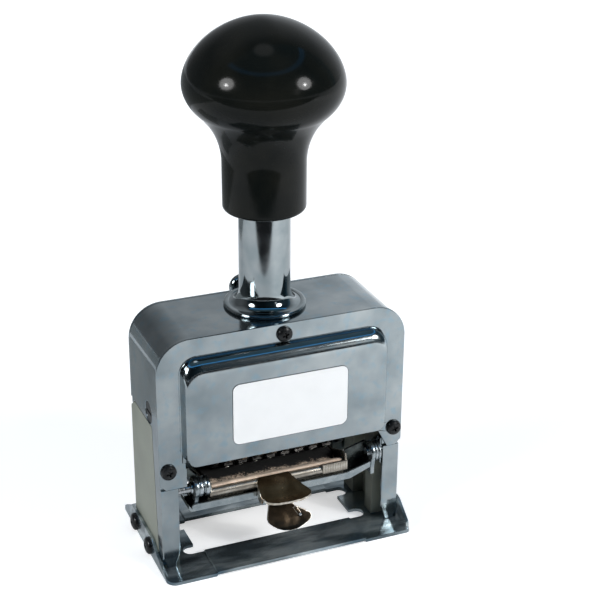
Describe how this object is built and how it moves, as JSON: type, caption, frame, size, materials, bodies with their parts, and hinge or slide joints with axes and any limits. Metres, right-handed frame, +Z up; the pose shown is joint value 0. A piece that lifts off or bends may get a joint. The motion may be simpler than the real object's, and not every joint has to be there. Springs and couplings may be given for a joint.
{
  "type": "numbering machine",
  "caption": "Self-inking hand numbering machine with a knob on a sprung plunger, number wheels, a swinging ink pad, finger levers, guide rails and a windowed base.",
  "frame": {"origin": "centre of the overall bounding box's underside, below the plunger's axis, on the paper", "axes": "+X across the machine to the right seen from the front, +Y to the rear, +Z up the plunger"},
  "size_m": [0.0804, 0.0456, 0.1576],
  "materials": {
    "chromed_sheet": "polished",
    "turned_steel": "bright turned",
    "pressed_steel": "satin plated",
    "wheel_steel": "oiled, ink-stained",
    "spring_steel": "drawn wire",
    "blackened_steel": "blackened",
    "turned_brass": "turned",
    "bronze": "browned",
    "cream_plastic": "moulded",
    "black_plastic": "polished",
    "label_card": "blank",
    "felt": "felt, stained with black ink"
  },
  "bodies": {
    "frame": {"base_plate": "chromed_sheet", "casing": "chromed_sheet", "front_cover": "chromed_sheet", "rear_cover": "chromed_sheet", "label": "label_card", "front_screws": "blackened_steel", "rear_screws": "blackened_steel", "rail_left": "cream_plastic", "rail_right": "cream_plastic", "base_screws": "blackened_steel", "side_screws": "blackened_steel", "sleeve": "chromed_sheet", "rod_bush": "turned_brass", "return_spring": "spring_steel", "pivot_studs": "turned_steel", "latch_bush": "turned_steel", "selector_stud": "turned_steel"},
    "plunger": {"knob": "black_plastic", "plunger_rod": "turned_steel", "head_bridge": "pressed_steel", "head_plate_left": "pressed_steel", "head_plate_right": "pressed_steel", "runners": "pressed_steel", "bridge_nut": "turned_brass", "wheel_axle": "turned_steel", "axle_nuts": "turned_steel", "detent_comb": "spring_steel", "plate_screws": "blackened_steel"},
    "wheel_1": {"number_wheel_1": "wheel_steel"},
    "wheel_2": {"number_wheel_2": "wheel_steel"},
    "wheel_3": {"number_wheel_3": "wheel_steel"},
    "wheel_4": {"number_wheel_4": "wheel_steel"},
    "wheel_5": {"number_wheel_5": "wheel_steel"},
    "wheel_6": {"number_wheel_6": "wheel_steel"},
    "wheel_7": {"number_wheel_7": "wheel_steel"},
    "wheel_8": {"number_wheel_8": "wheel_steel"},
    "pawl": {"pawl_frame": "pressed_steel", "pawl_comb": "spring_steel"},
    "inking_unit": {"ink_yoke": "chromed_sheet", "yoke_arm_left": "chromed_sheet", "yoke_arm_right": "chromed_sheet", "pivot_collars": "turned_steel", "pad_holder": "pressed_steel", "ink_pad": "felt", "upper_lever": "bronze", "lever_pin": "turned_steel"},
    "release_lever": {"lower_lever": "bronze"},
    "latch": {"latch_button": "turned_steel"},
    "selector": {"selector_lever": "chromed_sheet"}
  },
  "joints": [
    {"name": "plunger_slide", "type": "slide", "parent": "frame", "child": "plunger", "axis": [0, 0, -1], "range_m": [0, 0.0235], "stiffness_N_per_m": 300, "springref_m": -0.012, "deforming": ["return_spring"]},
    {"name": "inking_swing", "type": "hinge", "parent": "frame", "child": "inking_unit", "pos_m": [0, -0.0126, 0.0252], "axis": [-1, 0, 0], "range_deg": [0, 120]},
    {"name": "pawl_rock", "type": "hinge", "parent": "plunger", "child": "pawl", "pos_m": [0, 0, 0.0331], "axis": [1, 0, 0], "range_deg": [0, 36.1]},
    {"name": "wheel_1_turn", "type": "hinge", "parent": "plunger", "child": "wheel_1", "pos_m": [-0.01375, 0, 0.0331], "axis": [1, 0, 0], "continuous": true},
    {"name": "wheel_2_turn", "type": "hinge", "parent": "plunger", "child": "wheel_2", "pos_m": [-0.00925, 0, 0.0331], "axis": [1, 0, 0], "continuous": true},
    {"name": "wheel_3_turn", "type": "hinge", "parent": "plunger", "child": "wheel_3", "pos_m": [-0.00475, 0, 0.0331], "axis": [1, 0, 0], "continuous": true},
    {"name": "wheel_4_turn", "type": "hinge", "parent": "plunger", "child": "wheel_4", "pos_m": [-0.00025, 0, 0.0331], "axis": [1, 0, 0], "continuous": true},
    {"name": "wheel_5_turn", "type": "hinge", "parent": "plunger", "child": "wheel_5", "pos_m": [0.00425, 0, 0.0331], "axis": [1, 0, 0], "continuous": true},
    {"name": "wheel_6_turn", "type": "hinge", "parent": "plunger", "child": "wheel_6", "pos_m": [0.00875, 0, 0.0331], "axis": [1, 0, 0], "continuous": true},
    {"name": "wheel_7_turn", "type": "hinge", "parent": "plunger", "child": "wheel_7", "pos_m": [0.01325, 0, 0.0331], "axis": [1, 0, 0], "continuous": true},
    {"name": "wheel_8_turn", "type": "hinge", "parent": "plunger", "child": "wheel_8", "pos_m": [0.01775, 0, 0.0331], "axis": [1, 0, 0], "continuous": true},
    {"name": "release_lever_hinge", "type": "hinge", "parent": "inking_unit", "child": "release_lever", "pos_m": [-0.0013, -0.0142, 0.0169], "axis": [-1, 0, 0], "range_deg": [0, 12], "stiffness_Nm_per_rad": 0.02, "springref_deg": -11.46},
    {"name": "latch_push", "type": "slide", "parent": "frame", "child": "latch", "axis": [0, -1, 0], "range_m": [0, 0.003], "stiffness_N_per_m": 300, "springref_m": -0.002},
    {"name": "selector_turn", "type": "hinge", "parent": "frame", "child": "selector", "pos_m": [0.015, 0.0126, 0.0568], "axis": [0, 1, 0], "range_deg": [-60, 60]}
  ],
  "couplings": [
    {"joint": "inking_swing", "follows": "plunger_slide", "rad_per_m": 89.1},
    {"joint": "pawl_rock", "follows": "plunger_slide", "rad_per_m": 26.73}
  ]
}
